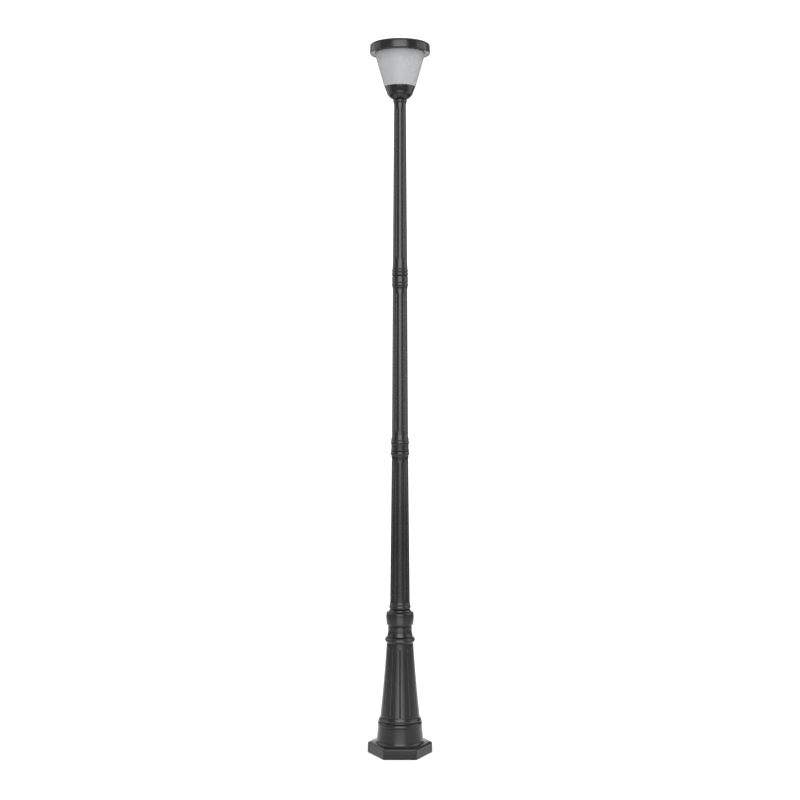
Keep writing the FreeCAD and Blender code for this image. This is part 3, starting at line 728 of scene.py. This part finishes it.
def foot_offsets(radius):
    """Column angles from a corner of the hexagon to the middle of its side."""
    near = [math.radians(a) for a in (0.4, 0.8, 1.15, 1.35, 1.6, 2.0, 2.8)]
    return near + on_to(near[-1], HALF_SIDE, 11)


def base_foot():
    corner = reach("base_foot") + FOOT_CORNER_ROUND * (1 / FLAT_SHARE - 1)
    top = high("base_foot")
    columns = sector_columns(FOOT_SIDES, 0.0, foot_offsets)

    def hexagon_rings(*rows):
        """Rings of (inset from the sides, corner rounding, height)."""
        rings = []
        for inset, rounding, height in rows:
            points = []
            for angle in columns(1.0):
                r = hexagon_reach(angle, corner - inset / FLAT_SHARE, rounding)
                points.append((r * math.cos(angle), r * math.sin(angle), height))
            rings.append(points)
        return rings

    shoulder = FOOT_PLATE - FOOT_CHAMFER
    drum = [
        (91.6, FOOT_PLATE),
        (85.0, FOOT_PLATE + 3.2, 81.6, FOOT_PLATE + 10.0),
        (81.5, FOOT_PLATE + 10.8),
        (77.3, top - 24.5),
        (77.0, top - 15.5),
        (75.8, top - 14.5),
        (76.9, top - 13.3),
        (78.0, top - 7.9, 76.2, top - 3.0),
        (72.8, top),
        (60.0, top),
    ]
    inside = [
        (60.0, top - 10.0),
        (71.0, top - 10.0),
        (71.5, 94.0),
        (75.5, 51.0),
        (76.5, 34.0),
        (76.5, 29.0),
    ]
    flange_hole = [(34.6, 10.0), (34.0, 9.4), (34.0, 0.6), (34.6, 0.0)]
    rings = hexagon_rings(
        (0.5, 4.6, 0.0),
        (0.15, 4.9, 0.2),
        (0.0, 5.0, 0.6),
        (0.0, 5.0, 14.0),
        (0.0, 5.0, shoulder - 1.2),
        (0.05, 5.0, shoulder - 0.5),
        (0.45, 4.8, shoulder + 0.35),
        (1.1, 4.6, shoulder + 1.1),
        (FOOT_CHAMFER - 1.0, 2.9, FOOT_PLATE - 1.0),
        (FOOT_CHAMFER - 0.3, 2.7, FOOT_PLATE - 0.35),
        (FOOT_CHAMFER + 0.6, 2.5, FOOT_PLATE),
    )
    rings += [ring(r, z, columns) for r, z in soften(outline(drum + inside))]
    rings += hexagon_rings((9.5, 2.0, 29.0), (8.0, 2.0, 27.5), (8.0, 2.0, 10.0))
    rings += [ring(r, z, columns) for r, z in flange_hole]
    place(join_rings("base_foot_casting", rings), "post", "powder_coat", "base_foot")


def cup():
    rim = high("cup") - low("cup")
    floor = 7.0
    ledge = rim - 2.0
    steps = [
        (8.0, 0.0),
        (23.4, 0.0),
        (24.8, 1.4),
        (35.0, 7.6, 41.8, 15.6),
        (42.6, 18.0),
        (44.8, 19.0, 45.4, 21.8),
        (45.3, 23.2),
        (49.6, 32.4, 53.4, rim - 1.4),
        (53.4, rim),
        (50.3, rim),
        (50.3, ledge),
        (46.5, ledge),
        (46.5, ledge - 2.5),
        (41.0, 26.0),
        (37.4, 18.0),
        (28.0, 9.5),
        (20.0, floor),
        (8.0, floor),
    ]
    place(turned("cup_casting", steps, low("cup")), "post", "powder_coat", "cup")


def shade():
    wall = 2.9
    foot = 55.4
    lip = reach("shade")
    top = high("shade") - low("shade")
    steps = [
        (8.3, 0.0),
        (foot - 2.0, 0.0),
        (foot - 0.6, 0.6, foot, 2.0),
        (lip, top - 1.0),
        (lip, top),
        (lip - wall, top),
        (foot - wall + 0.6, 4.0),
        (8.3, 4.0),
    ]
    piece = turned("shade_shell", steps, low("shade"))
    place(piece, "post", "frosted_shade", "shade")


SEAL_GROOVE = (84.7, 87.8)      # inner and outer radius of the groove for the cap's seal
SEAL_GROOVE_DEPTH = 1.8
CAP_COLUMNS = 192               # the cap is the widest round piece
CAP_SOFTNESS = 0.5


def cap_housing():
    edge = reach("cap_housing")
    top = high("cap_housing") - low("cap_housing")
    floor = 1.4
    floor_top = floor + 4.4
    seam = edge - 0.8
    wall = seam - 3.0
    lip = edge - 5.0
    inner_bend = round_corner(floor)
    rounding = edge - lip - floor
    bend = round_corner(rounding)
    groove_start, groove_end = SEAL_GROOVE
    steps = [
        (76.5, floor),
        (groove_start, floor),
        (groove_start, floor + SEAL_GROOVE_DEPTH),
        (groove_end, floor + SEAL_GROOVE_DEPTH),
        (groove_end, floor),
        (lip, floor),
        (lip + inner_bend, inner_bend, lip + floor, 0.0),
        (edge - bend, bend, edge, rounding),
        (seam, top),
        (95.5, top),
        (95.5, top - 2.4),
        (wall, top - 7.0),
        (wall, floor_top + 1.5),
        (wall - 1.5, floor_top),
        (76.5, floor_top),
    ]
    piece = turned("cap_housing_shell", steps, low("cap_housing"), CAP_COLUMNS, CAP_SOFTNESS)
    place(piece, "solar_cap", "cap_casing", "cap_housing")


def cap_bezel():
    outside = reach("cap_bezel")
    top = high("cap_bezel") - low("cap_bezel")
    glass = high("panel_glass") - low("cap_bezel")
    rounding = 8.0
    bend = round_corner(rounding)
    steps = [
        (101.2, 0.0),
        (outside, 0.0),
        (outside, top - rounding),
        (outside - bend, top - bend, outside - rounding, top),
        (95.6, top - 0.3),
        (94.0, top - 1.4),
        (94.0, glass),
        (101.2, glass),
    ]
    piece = turned("cap_bezel_ring", steps, low("cap_bezel"), CAP_COLUMNS, INNER_SOFTNESS)
    place(piece, "solar_cap", "cap_casing", "cap_bezel")


def panel_glass():
    radius = reach("panel_glass")
    thickness = high("panel_glass") - low("panel_glass")
    steps = [(0.0, 0.0), (radius, 0.0), (radius, thickness), (0.0, thickness)]
    piece = turned("panel_glass_disc", steps, low("panel_glass"), CAP_COLUMNS, INNER_SOFTNESS)
    place(piece, "solar_cap", "panel_glass", "panel_glass")


def led_lens():
    top = high("led_lens") - low("led_lens")
    flange = reach("led_lens")
    steps = [
        (flange, top),
        (54.0, top),
        (54.0, top - 8.0),
        (49.0, top - 13.0, 38.0, top - 14.4),
        (0.0, top - 15.2),
        (0.0, 0.0),
        (39.0, top - 16.4),
        (52.0, top - 14.0, 56.0, top - 8.0),
        (56.0, top - 2.0),
        (flange, top - 2.0),
    ]
    piece = turned("led_lens_cover", steps, low("led_lens"), 128, INNER_SOFTNESS)
    place(piece, "solar_cap", "lens_plastic", "led_lens")


def button_spring():
    """The coil that the design model has as a plain tube. The real coil shortens as the button goes in;
    here it is built at one length.
    """
    lowest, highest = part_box("button_spring")
    centre = (lowest + highest) / 2
    length = highest.z - lowest.z
    wire = 0.0003               # radius of the wire
    radius = (highest.x - lowest.x) / 2 - wire
    turns = 4
    steps = 24 * turns
    curve = bpy.data.curves.new("coil_path", "CURVE")
    curve.dimensions = "3D"
    curve.use_fill_caps = True
    curve.bevel_depth = wire
    curve.bevel_resolution = 3
    spline = curve.splines.new("POLY")
    spline.points.add(steps)
    for i, point in enumerate(spline.points):
        angle = math.tau * turns * i / steps
        height = lowest.z + wire + (length - 2 * wire) * i / steps
        point.co = (centre.x + radius * math.cos(angle), centre.y + radius * math.sin(angle), height, 1)
    path = bpy.data.objects.new("coil_path", curve)
    bpy.context.scene.collection.objects.link(path)
    bpy.context.view_layer.update()
    coil = bpy.data.objects.new("button_spring_coil", bpy.data.meshes.new_from_object(path))
    bpy.context.scene.collection.objects.link(coil)
    bpy.data.objects.remove(path)
    coil.data.shade_smooth()
    place(coil, "solar_cap", "spring_steel", "button_spring")
    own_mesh(coil)


base_foot()
pedestal()
lower_shaft()
middle_shaft()
upper_shaft()
cup()
shade()
cap_housing()
cap_bezel()
panel_glass()
led_lens()
button_spring()

for entry in frame["record"]["subparts"]:
    node = frame["nodes"][entry["node"]]
    node.data.materials.clear()
    node.data.materials.append(MATERIALS[entry["material_slot"]])


# ---- Studio ----------------------------------------------------------------------------------------

CAMERA_DISTANCE = 4.75
CAMERA_HEIGHT = 1.354
CAMERA_SHIFT = -0.043           # lens shift: the camera looks level, a little above the post's middle
CAMERA_LENS = 61.0

# Radiance of the surroundings, and where each share starts and is full, as a part of a unit direction.
WORLD_FRONT = 0.68
WORLD_SIDE = 0.25               # beside and half behind the post
SIDE_SPAN = (-0.3, 0.3)
WORLD_BACKDROP = 1.1            # added straight behind the post
BACKDROP_SPAN = (0.80, 0.92)
WORLD_ZENITH = 0.8              # added overhead, to light the floor
ZENITH_SPAN = (0.45, 0.9)

FLOOR_RADIUS = 2.3
FLOOR_SIDES = 96

SOFTBOXES = {                   # centre in metres, width, height and radiance
    "front_softbox": ((0, -4.7, 2.7), 4.4, 3.6, 6.0),
    "front_low_softbox": ((0, -4.7, 0.45), 3.4, 0.9, 1.45),
    "foot_softbox": ((0, -1.4, 0.11), 1.25, 0.2, 4.0),
    "right_softbox": ((3.4, 0.1, 2.3), 3.4, 3.2, 2.0),
    "left_softbox": ((-3.2, 1.0, 2.3), 3.4, 3.2, 1.5),
}


def studio_floor():
    rim = [math.tau * i / FLOOR_SIDES for i in range(FLOOR_SIDES)]
    points = [(FLOOR_RADIUS * math.cos(a), FLOOR_RADIUS * math.sin(a), 0) for a in rim]
    mesh = bpy.data.meshes.new("studio_floor")
    mesh.from_pydata(points, [], [tuple(range(FLOOR_SIDES))])
    floor = bpy.data.objects.new("studio_floor", mesh)
    bpy.context.scene.collection.objects.link(floor)
    n = Nodes("studio_floor")
    cloud = n.noise(1.5, 2.0)
    n.colour(n.blend(cloud, (0.93, 0.93, 0.93), (0.96, 0.96, 0.96)))
    n.set(Roughness=0.9, Specular_IOR_Level=0.1)
    mesh.materials.append(n.material)


def softbox(name, centre, width, height, radiance):
    """A rectangular light that faces the post's axis level. Its surface has the given radiance."""
    light = bpy.data.lights.new(name, "AREA")
    light.shape = "RECTANGLE"
    light.size = width
    light.size_y = height
    light.energy = radiance * math.pi * width * height
    lamp = bpy.data.objects.new(name, light)
    lamp.location = centre
    lamp.visible_camera = False
    lamp.rotation_euler = Vector((-centre[0], -centre[1], 0)).to_track_quat("-Z", "Y").to_euler()
    bpy.context.scene.collection.objects.link(lamp)


def studio_world():
    """White behind the post and dimmer in front of it, so that the coat's reflections have contrast."""
    world = bpy.data.worlds.new("studio")
    world.use_nodes = True
    tree = world.node_tree
    direction = tree.nodes.new("ShaderNodeTexCoord").outputs["Generated"]
    split = tree.nodes.new("ShaderNodeSeparateXYZ")
    tree.links.new(direction, split.inputs["Vector"])

    def ramp(axis, span, first, last):
        node = tree.nodes.new("ShaderNodeMapRange")
        node.interpolation_type = "SMOOTHSTEP"
        for socket, value in zip(("From Min", "From Max", "To Min", "To Max"), (*span, first, last)):
            node.inputs[socket].default_value = value
        tree.links.new(split.outputs[axis], node.inputs["Value"])
        return node.outputs["Result"]

    total = ramp("Y", SIDE_SPAN, WORLD_FRONT, WORLD_SIDE)
    backdrop = ramp("Y", BACKDROP_SPAN, 0.0, WORLD_BACKDROP)
    zenith = ramp("Z", ZENITH_SPAN, 0.0, WORLD_ZENITH)
    for part in (backdrop, zenith):
        add = tree.nodes.new("ShaderNodeMath")
        tree.links.new(total, add.inputs[0])
        tree.links.new(part, add.inputs[1])
        total = add.outputs["Value"]
    tree.links.new(total, tree.nodes["Background"].inputs["Strength"])
    tree.nodes["Background"].inputs["Color"].default_value = (1, 1, 1, 1)
    bpy.context.scene.world = world


def studio_camera():
    camera = bpy.data.cameras.new("camera")
    camera.lens = CAMERA_LENS
    camera.shift_y = CAMERA_SHIFT
    view = bpy.data.objects.new("camera", camera)
    view.location = (0, -CAMERA_DISTANCE, CAMERA_HEIGHT)
    view.rotation_euler = (math.pi / 2, 0, 0)
    bpy.context.scene.collection.objects.link(view)
    bpy.context.scene.camera = view
    bpy.context.scene.view_settings.view_transform = "Standard"


studio_floor()
studio_world()
for box_name, settings in SOFTBOXES.items():
    softbox(box_name, *settings)
studio_camera()
